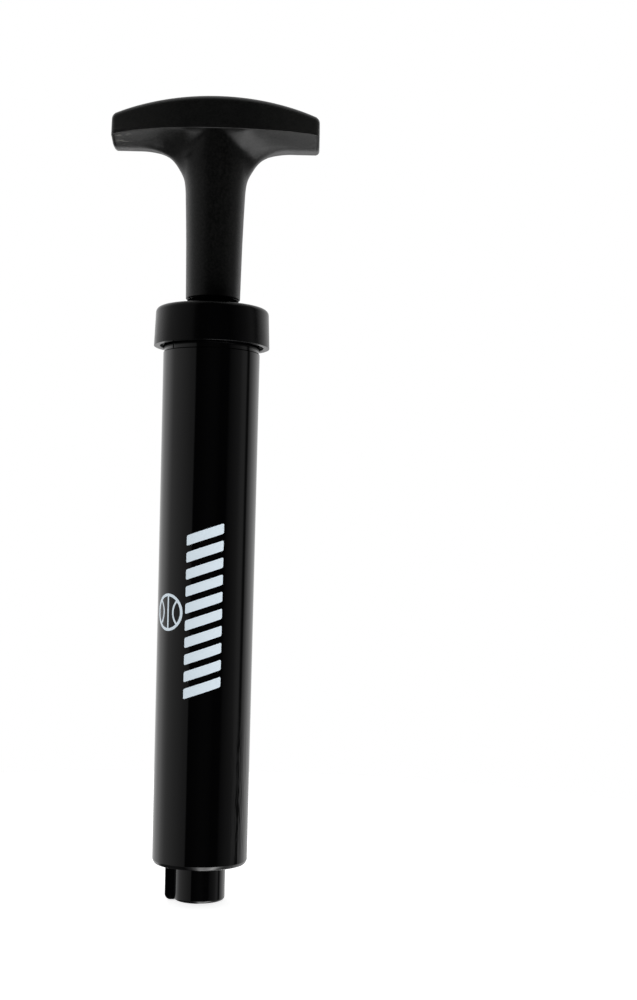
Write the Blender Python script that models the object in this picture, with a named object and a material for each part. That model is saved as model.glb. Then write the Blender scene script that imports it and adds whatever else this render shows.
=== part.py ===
"""Hand pump for inflating balls: a double-acting pump with a T-handle.

The pump stands on its nozzle: +Z runs up its axis from the middle of the nozzle's end face,
and +X runs along the T-bar. All sizes below are millimetres; the meshes are metres.

How it works. The piston divides the barrel into a lower and an upper chamber. On the push
stroke the lower chamber's air lifts the lower valve disc and enters the hollow rod; on the
pull stroke the upper chamber's air enters it past the upper valve sleeve. From the rod the air
goes down the fixed transfer tube, past the outlet ball and out through the needle socket. New
air enters the lower chamber by the duct in the lug and the intake flap, and the upper chamber
past the rod's lip seal.
"""

from math import cos, pi, radians, sin, sqrt

import bmesh
import bpy
from mathutils import Vector

MM = 0.001
ROUND = 40          # facets round the large pieces
ROUND_SMALL = 24    # facets round the small ones
SHARP_ANGLE = 35.0  # edges that turn more than this stay sharp when shaded

# Barrel, from the nozzle up
BOSS_R = 7.5
BOSS_EDGE_R = 0.8
FLOOR_BOTTOM = 10.7
FLOOR_TOP = 12.7
BARREL_BOTTOM_R = 13.7
BARREL_EDGE_R = 1.4
BARREL_TOP_R = 13.95
NECK_STEP = 157.9
NECK_R = 13.75
BARREL_RIM = 166.4
BORE_R = 12.0

# Lug beside the nozzle, with the air inlet's duct in it
LUG_REACH = 9.75
LUG_HALF_WIDTH = 2.0
LUG_CORNER_R = 1.7
DUCT_X = -8.6
DUCT_R = 0.8

# Tower: the post on the barrel's floor that holds the outlet valve and the transfer tube
TOWER_R = 5.6
TOWER_TOP = 30.0
GLAND_R = 4.5
GLAND_BOTTOM = 26.6
TUBE_HOLE_R = 3.15
TUBE_SEAT = 22.9
VALVE_HOLE_R = 3.0
VALVE_FLOOR = 13.2
OUTLET_R = 1.5
INSERT_HOLE_R = 5.05
INSERT_HOLE_TOP = 10.4

# Cap, and the bayonet that holds it on the barrel
CAP_RIM = 159.8
CAP_RIM_R = 16.7
CAP_RIM_CHAMFER = 0.3
CAP_TOP = 170.9
CAP_TOP_R = 16.25
CAP_EDGE_R = 1.7
CAP_PLATE_BOTTOM = 168.4
CAP_SKIRT_R = 14.95
CAP_HOLE_R = 7.6
BAYONET_ANGLES = (20.0, 140.0, 260.0)
BAYONET_ARC = 36.0
BAYONET_STEPS = 4
BAYONET_R = 14.6
BAYONET_BOTTOM = 162.7
BAYONET_TOP = 164.5
LEDGE_R = 14.15
LEDGE_BOTTOM = 160.9
LEDGE_TOP = 162.35
OVERLAP = 0.6       # how far a piece is sunk into the one that it is united with
GASKET_INNER_R = 12.15
GASKET_OUTER_R = 13.5
GASKET_BOTTOM = 166.7

# Rod, its bush and the transfer tube inside it
ROD_R = 6.3
ROD_BORE_R = 5.0
ROD_BOTTOM = 37.4
ROD_TOP = 211.0
BUSH_BORE_R = 6.42
BUSH_BOTTOM = 165.9
BUSH_FLANGE_R = 10.5
BUSH_FLANGE_TOP = 168.1
BUSH_COLLAR_R = 7.45
BUSH_TOP = 173.3
TUBE_R = 3.0
TUBE_BORE_R = 2.0
TUBE_TOP = 163.0
LIP_SEAL_OUTLINE = ((6.42, 163.0), (7.0, 163.0), (7.5, 164.2), (10.7, 164.2), (11.2, 162.9),
                    (11.85, 162.9), (11.85, 165.6), (6.9, 165.6), (6.42, 164.4))
RETAINER_R = 11.85
RETAINER_BORE_R = 6.9
RETAINER_BOTTOM = 161.0
RETAINER_TOP = 162.6
GLAND_SEAL_R = 3.78
GLAND_SEAL_WIRE_R = 0.6
GLAND_SEAL_Z = 27.6
GLAND_RING_R = 4.38
GLAND_RING_BOTTOM = 28.6
GLAND_RING_TOP = 29.8

# Piston
PISTON_R = 11.7
PISTON_BOTTOM = 15.1
PISTON_SHOULDER = 32.0
CAVITY_R = 6.1
PLATE_BOTTOM = 31.0
PLATE_TOP = 35.4
COLLAR_R = 8.6
COLLAR_BORE_R = 6.45
COLLAR_TOP = 41.0
SEAL_MIDDLE = 26.3
SEAL_RING_R = 10.97
SEAL_WIRE_R = 0.9
SEAL_GROOVE_R = 9.85
SEAL_GROOVE_HALF = 1.25
PISTON_CHAMFER = 0.4
SHOULDER_RISE = 1.0
INNER_SEAL_R = 3.68
INNER_SEAL_WIRE_R = 0.56
INNER_SEAL_Z = 33.5
INNER_GROOVE_R = 4.4
INNER_GROOVE_BOTTOM = 32.6
INNER_RETAINER_R = 4.25
INNER_RETAINER_BORE_R = 3.2
INNER_RETAINER_BOTTOM = 34.4
INNER_RETAINER_TOP = 35.3
LOWER_DISC_R = 6.2
LOWER_DISC_BORE_R = 4.6
LOWER_DISC_BOTTOM = 35.7
LOWER_DISC_TOP = 36.3
SLEEVE_R = 4.85
SLEEVE_BORE_R = 4.2
SLEEVE_BOTTOM = 37.8
SLEEVE_TOP = 44.0
BUMPER_TOP = 44.3
BUMPER_CHAMFER = 0.5
CONTACT_GAP = 0.3   # between pieces that rest on each other
PORT_COUNT = 6
PORT_CIRCLE_R = 5.25
PORT_R = 0.55
PORT_PAST = 0.7     # how far a port's cutter runs past the wall, on both sides
SIDE_PORT_COUNT = 4
SIDE_PORT_R = 0.9
SIDE_PORT_Z = 39.2

# Outlet valve
SEAT_R = 2.88
SEAT_MOUTH_R = 2.3
SEAT_BOTTOM = 20.6
SEAT_CONE_TOP = 21.4
SEAT_TOP = 22.6
BALL_R = 2.2
BALL_MIDDLE = 19.62
SPRING_R = 1.7
SPRING_WIRE_R = 0.2
SPRING_BOTTOM = 13.5
SPRING_TOP = 17.75
SPRING_TURNS = 5

# Needle insert, its gasket, and the intake flap in the barrel's floor
INSERT_R = 4.9
INSERT_GROOVE_R = 4.6
INSERT_GROOVE_BOTTOMS = (2.4, 5.6)
INSERT_GROOVE_HEIGHT = 1.0
INSERT_BOTTOM = 0.4
INSERT_TOP = 8.4
INSERT_BORE_R = 3.5
INSERT_CHAMFER = 0.3
NEEDLE_GASKET_R = 4.7
NEEDLE_GASKET_BORE_R = 1.4
NEEDLE_GASKET_TOP = 10.1
FLAP_R = 11.2
FLAP_BORE_R = 5.85
FLAP_TOP = 13.5
FLAP_RETAINER_R = 7.4
FLAP_RETAINER_BORE_R = 5.75
FLAP_RETAINER_BOTTOM = 14.2
FLAP_RETAINER_TOP = 14.8

# Plug in the rod's top: a barbed stalk with a head
PLUG_BOTTOM = 202.0
PLUG_TIP_R = 4.0
PLUG_STALK_R = 4.3
PLUG_BARB_R = 4.85
PLUG_BARB_BOTTOMS = (203.5, 207.0)
PLUG_BARB_HEIGHT = 2.0
PLUG_HEAD_R = 6.2
PLUG_TOP = 213.2

# Handle: a tapered stem, and a T-bar whose upper part overhangs a narrower lower web
STEM_BOTTOM = 173.6
STEM_PROFILE = ((7.85, 173.6), (8.0, 182.0), (8.15, 190.0), (8.36, 197.0), (8.6, 204.0), (8.8, 214.0))
STEM_BORE_R = 6.45
STEM_BORE_TOP = 213.6
BAR_HALF = 29.8
BAR_TOP = 231.8
BAR_ARCH_R = 74.0
BAR_UNDER = 217.0
BAR_WEB_HALF = 3.4
PART_LINE = 221.4
PART_LINE_DROP = 1.3
PART_HALF = 8.9
PART_HALF_END = 8.1
TOP_HALF = 6.0
TOP_EDGE = 1.2
FLARE_R = 10.2
FLARE_X = 18.9
BAR_STATIONS = (-BAR_HALF, -26, -22.5, -19, -16, -13.5, -11.5, -9.7, -5)


def material(name, colour, roughness, metallic=0.0):
    """A Principled material of one colour."""
    made = bpy.data.materials.new(name)
    made.use_nodes = True
    shader = made.node_tree.nodes["Principled BSDF"]
    shader.inputs["Base Color"].default_value = (*colour, 1.0)
    shader.inputs["Roughness"].default_value = roughness
    shader.inputs["Metallic"].default_value = metallic
    return made


def add_object(name, bm, finish=None):
    """Make an object from a bmesh, with its faces turned outwards and shaded smooth."""
    bmesh.ops.recalc_face_normals(bm, faces=bm.faces)
    mesh = bpy.data.meshes.new(name)
    bm.to_mesh(mesh)
    bm.free()
    mesh.shade_smooth()
    mesh.set_sharp_from_angle(angle=radians(SHARP_ANGLE))
    if finish:
        mesh.materials.append(finish)
    made = bpy.data.objects.new(name, mesh)
    bpy.context.scene.collection.objects.link(made)
    return made


def combine(target, tools, operation):
    """Cut hidden tool objects from a target, or unite them with it."""
    for tool in tools:
        tool.hide_render = True
        tool.display_type = "WIRE"
        change = target.modifiers.new(tool.name, "BOOLEAN")
        change.operation = operation
        change.solver = "EXACT"
        change.object = tool


# ---- outlines in the (radius, height) plane ----

def arc(middle_r, middle_z, radius, start, end, steps=4):
    """Points along a circular arc, from one angle in degrees to another."""
    angles = [radians(start + (end - start) * i / steps) for i in range(steps + 1)]
    return [(middle_r + radius * cos(a), middle_z + radius * sin(a)) for a in angles]


def ring(inner_r, outer_r, bottom, top, chamfer=0.0):
    """Outline of a flat ring; a chamfer cuts its outer corners."""
    if not chamfer:
        return [(inner_r, bottom), (outer_r, bottom), (outer_r, top), (inner_r, top)]
    return [(inner_r, bottom), (outer_r - chamfer, bottom), (outer_r, bottom + chamfer),
            (outer_r, top - chamfer), (outer_r - chamfer, top), (inner_r, top)]


def wire_ring(middle_r, middle_z, wire_r, sides=6):
    """Outline of an O-ring, with a corner at its inner and its outer side."""
    return arc(middle_r, middle_z, wire_r, 0, 360 - 360 / sides, sides - 1)


# ---- solids added to a bmesh ----

def add_turned(bm, outline, steps, start=0.0, sweep=360.0):
    """Turn a closed outline round Z: all the way, or part of the way as a closed block."""
    full = sweep >= 360.0
    rows = []
    for i in range(steps if full else steps + 1):
        a = radians(start + sweep * i / steps)
        rows.append([bm.verts.new(Vector((r * cos(a), r * sin(a), z)) * MM) for r, z in outline])
    pairs = [(rows[i], rows[(i + 1) % len(rows)]) for i in range(steps)]
    count = len(outline)
    for row, following in pairs:
        for j in range(count):
            k = (j + 1) % count
            bm.faces.new((row[j], following[j], following[k], row[k]))
    if not full:
        bm.faces.new(rows[0])
        bm.faces.new(reversed(rows[-1]))
    bmesh.ops.remove_doubles(bm, verts=bm.verts, dist=1e-7)


def add_rod(bm, start, end, radius, steps=16):
    """A round rod between two points."""
    start, end = Vector(start) * MM, Vector(end) * MM
    along = end - start
    turn = along.to_track_quat("Z", "Y").to_matrix().to_4x4()
    turn.translation = (start + end) / 2
    bmesh.ops.create_cone(bm, cap_ends=True, segments=steps, radius1=radius * MM,
                          radius2=radius * MM, depth=along.length, matrix=turn)


def add_loft(bm, sections):
    """A closed solid through a row of sections with the same number of points."""
    rows = [[bm.verts.new(Vector(p) * MM) for p in section] for section in sections]
    for row, following in zip(rows, rows[1:]):
        for j in range(len(row)):
            k = (j + 1) % len(row)
            bm.faces.new((row[j], following[j], following[k], row[k]))
    bm.faces.new(rows[0])
    bm.faces.new(reversed(rows[-1]))


def turned(name, outline, finish=None, steps=ROUND):
    """An object made by turning a closed outline round Z."""
    bm = bmesh.new()
    add_turned(bm, outline, steps)
    return add_object(name, bm, finish)


# ---- barrel and the pieces fixed in it ----

def barrel(finish):
    floor_corner = BARREL_BOTTOM_R - BARREL_EDGE_R
    outside = [
        (INSERT_HOLE_R, 0.0),
        *arc(BOSS_R - BOSS_EDGE_R, BOSS_EDGE_R, BOSS_EDGE_R, -90, 0, 3),
        (BOSS_R, FLOOR_BOTTOM),
        *arc(floor_corner, FLOOR_BOTTOM + BARREL_EDGE_R, BARREL_EDGE_R, -90, 0),
        (BARREL_TOP_R, NECK_STEP), (NECK_R, NECK_STEP + 0.2), (NECK_R, BARREL_RIM),
    ]
    inside = [
        (BORE_R, BARREL_RIM), (BORE_R, FLOOR_TOP),
        (TOWER_R, FLOOR_TOP), (TOWER_R, TOWER_TOP),
        (GLAND_R, TOWER_TOP), (GLAND_R, GLAND_BOTTOM),
        (TUBE_HOLE_R, GLAND_BOTTOM), (TUBE_HOLE_R, TUBE_SEAT),
        (VALVE_HOLE_R, TUBE_SEAT), (VALVE_HOLE_R, VALVE_FLOOR),
        (OUTLET_R, VALVE_FLOOR), (OUTLET_R, INSERT_HOLE_TOP), (INSERT_HOLE_R, INSERT_HOLE_TOP),
    ]
    body = turned("barrel", outside + inside, finish)
    combine(body, [barrel_lug(), *barrel_bayonet()], "UNION")
    duct = bmesh.new()
    add_rod(duct, (DUCT_X, 0, -1), (DUCT_X, 0, FLOOR_TOP + 1), DUCT_R, 12)
    combine(body, [add_object("cut_duct", duct)], "DIFFERENCE")


def barrel_lug():
    """The fin beside the nozzle, sunk a little into the boss and the floor."""
    corner = [(-x, z) for x, z in arc(LUG_REACH - LUG_CORNER_R, LUG_CORNER_R, LUG_CORNER_R, -90, 0)]
    inner_x, top = -BOSS_R + BOSS_EDGE_R, FLOOR_BOTTOM + OVERLAP
    outline = [(inner_x, 0.0), *corner, (-LUG_REACH, top), (inner_x, top)]
    bm = bmesh.new()
    add_loft(bm, [[(x, y, z) for x, z in outline] for y in (-LUG_HALF_WIDTH, LUG_HALF_WIDTH)])
    return add_object("add_lug", bm)


def barrel_bayonet():
    """Lugs under the barrel's rim that the cap's ledges turn under."""
    lugs = []
    for i, angle in enumerate(BAYONET_ANGLES):
        bm = bmesh.new()
        outline = ring(NECK_R - OVERLAP, BAYONET_R, BAYONET_BOTTOM, BAYONET_TOP)
        add_turned(bm, outline, BAYONET_STEPS, angle, BAYONET_ARC)
        lugs.append(add_object(f"add_bayonet_{i}", bm))
    return lugs


def cap(finish):
    outline = [
        (CAP_SKIRT_R, CAP_RIM), (CAP_RIM_R - CAP_RIM_CHAMFER, CAP_RIM),
        (CAP_RIM_R, CAP_RIM + CAP_RIM_CHAMFER),
        *arc(CAP_TOP_R - CAP_EDGE_R, CAP_TOP - CAP_EDGE_R, CAP_EDGE_R, 5, 90),
        (CAP_HOLE_R, CAP_TOP), (CAP_HOLE_R, CAP_PLATE_BOTTOM), (CAP_SKIRT_R, CAP_PLATE_BOTTOM),
    ]
    body = turned("cap", outline, finish)
    ledges = []
    for i, angle in enumerate(BAYONET_ANGLES):
        bm = bmesh.new()
        outline = ring(LEDGE_R, CAP_SKIRT_R + OVERLAP, LEDGE_BOTTOM, LEDGE_TOP)
        add_turned(bm, outline, BAYONET_STEPS, angle, BAYONET_ARC)
        ledges.append(add_object(f"add_ledge_{i}", bm))
    combine(body, ledges, "UNION")


def cap_pieces(plastic, rubber, dark_plastic):
    """The bush, seal and retainer that guide the rod at the barrel's top, and the cap's gasket."""
    turned("cap_gasket", ring(GASKET_INNER_R, GASKET_OUTER_R, GASKET_BOTTOM, BUSH_FLANGE_TOP), rubber)
    turned("rod_bush", [(BUSH_BORE_R, BUSH_BOTTOM), (BUSH_FLANGE_R, BUSH_BOTTOM),
                        (BUSH_FLANGE_R, BUSH_FLANGE_TOP), (BUSH_COLLAR_R, BUSH_FLANGE_TOP),
                        (BUSH_COLLAR_R, BUSH_TOP - 0.4), (BUSH_COLLAR_R - 0.3, BUSH_TOP),
                        (BUSH_BORE_R, BUSH_TOP)], dark_plastic)
    turned("rod_lip_seal", LIP_SEAL_OUTLINE, rubber)
    turned("seal_retainer", ring(RETAINER_BORE_R, RETAINER_R, RETAINER_BOTTOM, RETAINER_TOP), plastic)


def transfer_tube(plastic, rubber):
    """The fixed tube up the middle, its O-ring in the tower and the ring over that."""
    turned("transfer_tube", ring(TUBE_BORE_R, TUBE_R, TUBE_SEAT + CONTACT_GAP, TUBE_TOP, 0.3), plastic,
           ROUND_SMALL)
    turned("transfer_tube_o_ring", wire_ring(GLAND_SEAL_R, GLAND_SEAL_Z, GLAND_SEAL_WIRE_R), rubber,
           ROUND_SMALL)
    turned("tube_gland_ring", ring(TUBE_HOLE_R, GLAND_RING_R, GLAND_RING_BOTTOM, GLAND_RING_TOP),
           plastic, ROUND_SMALL)


# ---- nozzle and valves ----

def outlet_valve(plastic, steel):
    """A sprung ball under a cone seat: air goes down past it, and can't come back."""
    turned("outlet_valve_seat", [(SEAT_MOUTH_R, SEAT_BOTTOM), (SEAT_R, SEAT_BOTTOM), (SEAT_R, SEAT_TOP),
                                 (OUTLET_R, SEAT_TOP), (OUTLET_R, SEAT_CONE_TOP)], plastic,
           ROUND_SMALL)
    bm = bmesh.new()
    bmesh.ops.create_uvsphere(bm, u_segments=16, v_segments=10, radius=BALL_R * MM)
    ball = add_object("outlet_ball", bm, steel)
    ball.location.z = BALL_MIDDLE * MM
    bm = bmesh.new()
    steps = SPRING_TURNS * 12
    sections = []
    for i in range(steps + 1):
        a = 2 * pi * SPRING_TURNS * i / steps
        z = SPRING_BOTTOM + (SPRING_TOP - SPRING_BOTTOM) * i / steps
        wire = arc(SPRING_R, z, SPRING_WIRE_R, 0, 288, 4)
        sections.append([(r * cos(a), r * sin(a), h) for r, h in wire])
    add_loft(bm, sections)
    add_object("outlet_spring", bm, steel)


def needle_socket(brass, rubber):
    """The threaded insert that the needle screws into, and the gasket its end presses on."""
    grooves = []
    slope = INSERT_R - INSERT_GROOVE_R
    for z in INSERT_GROOVE_BOTTOMS:
        grooves += [(INSERT_R, z), (INSERT_GROOVE_R, z + slope),
                    (INSERT_GROOVE_R, z + INSERT_GROOVE_HEIGHT - slope),
                    (INSERT_R, z + INSERT_GROOVE_HEIGHT)]
    turned("needle_socket", [(INSERT_BORE_R + INSERT_CHAMFER, INSERT_BOTTOM), (INSERT_R, INSERT_BOTTOM),
                             *grooves, (INSERT_R, INSERT_TOP), (INSERT_BORE_R, INSERT_TOP),
                             (INSERT_BORE_R, INSERT_BOTTOM + INSERT_CHAMFER)], brass, ROUND_SMALL)
    turned("needle_gasket", ring(NEEDLE_GASKET_BORE_R, NEEDLE_GASKET_R, INSERT_TOP + CONTACT_GAP,
                                 NEEDLE_GASKET_TOP), rubber, ROUND_SMALL)


def intake_valve(rubber, plastic):
    turned("intake_flap", ring(FLAP_BORE_R, FLAP_R, FLOOR_TOP + CONTACT_GAP, FLAP_TOP), rubber)
    turned("intake_flap_retainer", ring(FLAP_RETAINER_BORE_R, FLAP_RETAINER_R, FLAP_RETAINER_BOTTOM,
                                        FLAP_RETAINER_TOP), plastic)


# ---- plunger ----

def piston(plastic, rubber):
    """The piston with its ports, its two seals and its two valves."""
    groove_bottom, groove_top = SEAL_MIDDLE - SEAL_GROOVE_HALF, SEAL_MIDDLE + SEAL_GROOVE_HALF
    edge_r = PISTON_R - PISTON_CHAMFER
    outline = [
        (CAVITY_R, PISTON_BOTTOM), (edge_r, PISTON_BOTTOM),
        (PISTON_R, PISTON_BOTTOM + PISTON_CHAMFER), (PISTON_R, groove_bottom),
        (SEAL_GROOVE_R, groove_bottom), (SEAL_GROOVE_R, groove_top), (PISTON_R, groove_top),
        (PISTON_R, PISTON_SHOULDER - PISTON_CHAMFER), (edge_r, PISTON_SHOULDER),
        (COLLAR_R, PISTON_SHOULDER + SHOULDER_RISE), (COLLAR_R, COLLAR_TOP),
        (COLLAR_BORE_R, COLLAR_TOP), (COLLAR_BORE_R, PLATE_TOP), (INNER_GROOVE_R, PLATE_TOP),
        (INNER_GROOVE_R, INNER_GROOVE_BOTTOM), (TUBE_HOLE_R, INNER_GROOVE_BOTTOM),
        (TUBE_HOLE_R, PLATE_BOTTOM), (CAVITY_R, PLATE_BOTTOM),
    ]
    body = turned("piston_body", outline, plastic)
    ports = bmesh.new()
    for i in range(PORT_COUNT):
        a = 2 * pi * i / PORT_COUNT
        x, y = PORT_CIRCLE_R * cos(a), PORT_CIRCLE_R * sin(a)
        add_rod(ports, (x, y, PLATE_BOTTOM - 0.5), (x, y, PLATE_TOP + 0.5), PORT_R, 8)
    add_side_ports(ports, COLLAR_BORE_R - PORT_PAST, COLLAR_R + PORT_PAST)
    combine(body, [add_object("cut_piston_ports", ports)], "DIFFERENCE")

    turned("piston_seal", wire_ring(SEAL_RING_R, SEAL_MIDDLE, SEAL_WIRE_R), rubber)
    turned("inner_seal", wire_ring(INNER_SEAL_R, INNER_SEAL_Z, INNER_SEAL_WIRE_R), rubber, ROUND_SMALL)
    turned("inner_seal_retainer", ring(INNER_RETAINER_BORE_R, INNER_RETAINER_R, INNER_RETAINER_BOTTOM,
                                       INNER_RETAINER_TOP), plastic, ROUND_SMALL)
    turned("lower_valve_disc", ring(LOWER_DISC_BORE_R, LOWER_DISC_R, LOWER_DISC_BOTTOM,
                                    LOWER_DISC_TOP), rubber, ROUND_SMALL)
    turned("upper_valve_sleeve", ring(SLEEVE_BORE_R, SLEEVE_R, SLEEVE_BOTTOM, SLEEVE_TOP), rubber,
           ROUND_SMALL)
    turned("bumper_ring", ring(COLLAR_BORE_R, COLLAR_R, COLLAR_TOP + CONTACT_GAP, BUMPER_TOP,
                               BUMPER_CHAMFER), rubber)


def add_side_ports(bm, inner_r, outer_r):
    """Radial rods for the ports between the upper chamber and the hollow rod."""
    for i in range(SIDE_PORT_COUNT):
        a = 2 * pi * (i + 0.5) / SIDE_PORT_COUNT
        ends = [(r * cos(a), r * sin(a), SIDE_PORT_Z) for r in (inner_r, outer_r)]
        add_rod(bm, *ends, SIDE_PORT_R, 10)


def rod(dark_plastic, plastic):
    """The hollow rod with its side ports, and the barbed plug in its top."""
    tube = turned("rod_tube", ring(ROD_BORE_R, ROD_R, ROD_BOTTOM, ROD_TOP, 0.3), dark_plastic)
    ports = bmesh.new()
    add_side_ports(ports, ROD_BORE_R - PORT_PAST, ROD_R + PORT_PAST)
    combine(tube, [add_object("cut_rod_ports", ports)], "DIFFERENCE")
    barbs = []
    for z in PLUG_BARB_BOTTOMS:
        barbs += [(PLUG_STALK_R, z), (PLUG_BARB_R, z + PLUG_BARB_HEIGHT),
                  (PLUG_STALK_R, z + PLUG_BARB_HEIGHT)]
    head_bottom = ROD_TOP + CONTACT_GAP
    turned("rod_top_plug", [(0.0, PLUG_BOTTOM), (PLUG_TIP_R, PLUG_BOTTOM), *barbs,
                            (PLUG_STALK_R, head_bottom), (PLUG_HEAD_R, head_bottom),
                            (PLUG_HEAD_R, PLUG_TOP), (0.0, PLUG_TOP)], plastic, ROUND_SMALL)


# ---- handle ----

def bar_bottom(x):
    """Height of the T-bar's underside, which flares down into the stem."""
    reach = max(FLARE_X - abs(x), 0.0)
    reach = min(reach, 0.985 * FLARE_R)
    return BAR_UNDER - FLARE_R + sqrt(FLARE_R ** 2 - reach ** 2)


def bar_section(x):
    """Section of the T-bar across X: narrow web below, widest at the part line, arched top."""
    share = (x / BAR_HALF) ** 2
    top = BAR_TOP - BAR_ARCH_R + sqrt(BAR_ARCH_R ** 2 - x ** 2)
    part = PART_LINE - PART_LINE_DROP * share
    half = PART_HALF + (PART_HALF_END - PART_HALF) * share
    bottom = bar_bottom(x)
    near_stem = min(1.0, (BAR_UNDER - bottom) / FLARE_R)
    web = BAR_WEB_HALF * (1.0 + 0.4 * near_stem)
    rise = part - bottom
    side = [(web * 0.7, bottom), (web, bottom + 0.12 * rise),
            (web + 0.35 * (half - web), bottom + 0.45 * rise),
            (web + 0.75 * (half - web), bottom + 0.8 * rise), (half, part),
            (TOP_HALF, top - 0.75 * TOP_EDGE), (TOP_HALF - TOP_EDGE, top)]
    front = [(x, -y, z) for y, z in side]
    back = [(x, y, z) for y, z in reversed(side)]
    return front + back


def handle(plastic):
    outline = [*STEM_PROFILE, (0.0, STEM_PROFILE[-1][1]), (0.0, STEM_BOTTOM)]
    bm = bmesh.new()
    add_turned(bm, outline, ROUND)
    body = add_object("handle", bm, plastic)

    bar = bmesh.new()
    stations = [*BAR_STATIONS, 0, *(-x for x in reversed(BAR_STATIONS))]
    add_loft(bar, [bar_section(x) for x in stations])
    combine(body, [add_object("add_bar", bar)], "UNION")

    socket = turned("cut_rod_socket", [(0.0, STEM_BOTTOM - 2), (STEM_BORE_R, STEM_BOTTOM - 2),
                                       (STEM_BORE_R, STEM_BORE_TOP), (0.0, STEM_BORE_TOP)])
    combine(body, [socket], "DIFFERENCE")


def group(name, members, parent=None):
    """Put the pieces that move together under an empty on the pump's axis."""
    empty = bpy.data.objects.new(name, None)
    bpy.context.scene.collection.objects.link(empty)
    empty.parent = parent
    for member in members:
        bpy.data.objects[member].parent = empty
    return empty


def build():
    for old in list(bpy.data.objects):
        bpy.data.objects.remove(old)
    gloss_black = material("gloss_black_plastic", (0.006, 0.006, 0.007), 0.12)
    satin_black = material("satin_black_plastic", (0.008, 0.008, 0.009), 0.35)
    matte_black = material("matte_black_plastic", (0.012, 0.012, 0.012), 0.55)
    acetal = material("natural_acetal", (0.75, 0.73, 0.68), 0.4)
    rubber = material("black_rubber", (0.02, 0.02, 0.02), 0.7)
    steel = material("steel", (0.6, 0.6, 0.62), 0.25, 1.0)
    brass = material("brass", (0.72, 0.52, 0.22), 0.3, 1.0)

    barrel(gloss_black)
    cap(satin_black)
    cap_pieces(acetal, rubber, satin_black)
    transfer_tube(acetal, rubber)
    outlet_valve(acetal, steel)
    needle_socket(brass, rubber)
    intake_valve(rubber, acetal)
    piston(acetal, rubber)
    rod(satin_black, acetal)
    handle(matte_black)

    slide = group("plunger_slide", ["piston_seal"])
    group("plunger", ["handle", "rod_tube", "rod_top_plug", "piston_body", "inner_seal",
                      "inner_seal_retainer", "upper_valve_sleeve", "bumper_ring",
                      "lower_valve_disc"], slide)


build()
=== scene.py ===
"""Looks of the ball inflation pump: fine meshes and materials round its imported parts.

Lengths are millimetres unless a comment says metres, and a mesh is scaled to metres when it is
made. +Z runs up the pump's axis, +X along the T-bar, and -Y is the side that the camera sees.
"""

from math import cos, pi, radians, sin, sqrt, tan

import bmesh
import bpy
import numpy as np
from mathutils import Matrix, Vector


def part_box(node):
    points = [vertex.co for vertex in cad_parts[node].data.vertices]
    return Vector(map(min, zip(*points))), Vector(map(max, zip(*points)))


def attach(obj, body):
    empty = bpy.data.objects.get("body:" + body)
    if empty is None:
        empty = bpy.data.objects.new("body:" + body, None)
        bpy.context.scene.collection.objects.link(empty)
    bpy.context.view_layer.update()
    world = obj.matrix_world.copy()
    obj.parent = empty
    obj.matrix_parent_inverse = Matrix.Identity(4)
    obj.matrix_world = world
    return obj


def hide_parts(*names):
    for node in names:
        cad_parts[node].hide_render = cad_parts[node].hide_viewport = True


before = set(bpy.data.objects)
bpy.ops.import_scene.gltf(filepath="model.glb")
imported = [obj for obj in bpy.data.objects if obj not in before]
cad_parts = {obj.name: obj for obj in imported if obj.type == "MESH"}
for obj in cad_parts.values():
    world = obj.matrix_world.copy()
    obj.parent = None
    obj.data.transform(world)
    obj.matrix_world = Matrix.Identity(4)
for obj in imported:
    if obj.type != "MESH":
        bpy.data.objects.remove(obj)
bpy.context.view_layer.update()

MM = 0.001          # metres in a millimetre
FINE = 160          # facets round the large pieces
FINE_SMALL = 96     # facets round the small ones
SHARP_FROM = 40     # edges that turn by more degrees than this are shaded sharp


def node_box(name):
    """Lowest and highest corner of a CAD node, in millimetres."""
    return tuple(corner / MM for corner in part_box(name))


# ---- sizes read from the frame ----

CAP_LOW, CAP_HIGH = node_box("cap")
HANDLE_LOW, HANDLE_HIGH = node_box("handle")
ROD_LOW, ROD_HIGH = node_box("rod_tube")
BUSH_LOW, BUSH_HIGH = node_box("rod_bush")
SOCKET_LOW, SOCKET_HIGH = node_box("needle_socket")

# ---- sizes of the fine shapes: radii, heights over the nozzle's end, and angles in degrees ----

# the barrel's outside
BOSS_R = 7.5
FLOOR_BOTTOM = 10.7
BARREL_BOTTOM_R = 13.7
BARREL_TOP_R = 13.95
EDGE_WIDTH = 0.5
EDGE_HEIGHT = 1.1
NECK_STEP = 157.9
NECK_STEP_RISE = 0.25
NECK_R = 13.75
RIM_TOP = 166.4

# the barrel's inside: bore, tower, gland, valve chamber, outlet, and the insert's seat
BORE_R = 12.0
FLOOR_TOP = 12.7
TOWER_R = 5.6
TOWER_TOP = 30.0
GLAND_R = 4.5
GLAND_FLOOR = 26.6
TUBE_HOLE_R = 3.15
VALVE_TOP = 22.9
VALVE_R = 3.0
VALVE_FLOOR = 13.2
OUTLET_R = 1.5
INSERT_R = 5.05
INSERT_TOP = 10.4

# the lug beside the nozzle boss, and the air duct in the floor
LUG_REACH = 9.75
LUG_HALF_WIDTH = 2.0
LUG_CORNER_R = 1.7
LUG_EDGE_R = 0.3
LUG_ROOT = 1.5
LUG_SUNK = 1.0
DUCT_X = -8.6
DUCT_R = 0.8

# the bayonet that holds the cap, and the notch in the neck
BAYONET_R = 14.6
BAYONET_LOW = 162.7
BAYONET_HIGH = 164.5
BAYONET_STARTS = (20, 140, 260)
BAYONET_SWEEP = 36
BAYONET_SUNK = 0.5
LEDGE_R = 14.15
LEDGE_LOW = 160.9
LEDGE_HIGH = 162.35
NOTCH_ANGLE = 222
NOTCH_R = 0.28
NOTCH_FOOT = 0.3
NOTCH_LENGTH = 2.6

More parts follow.
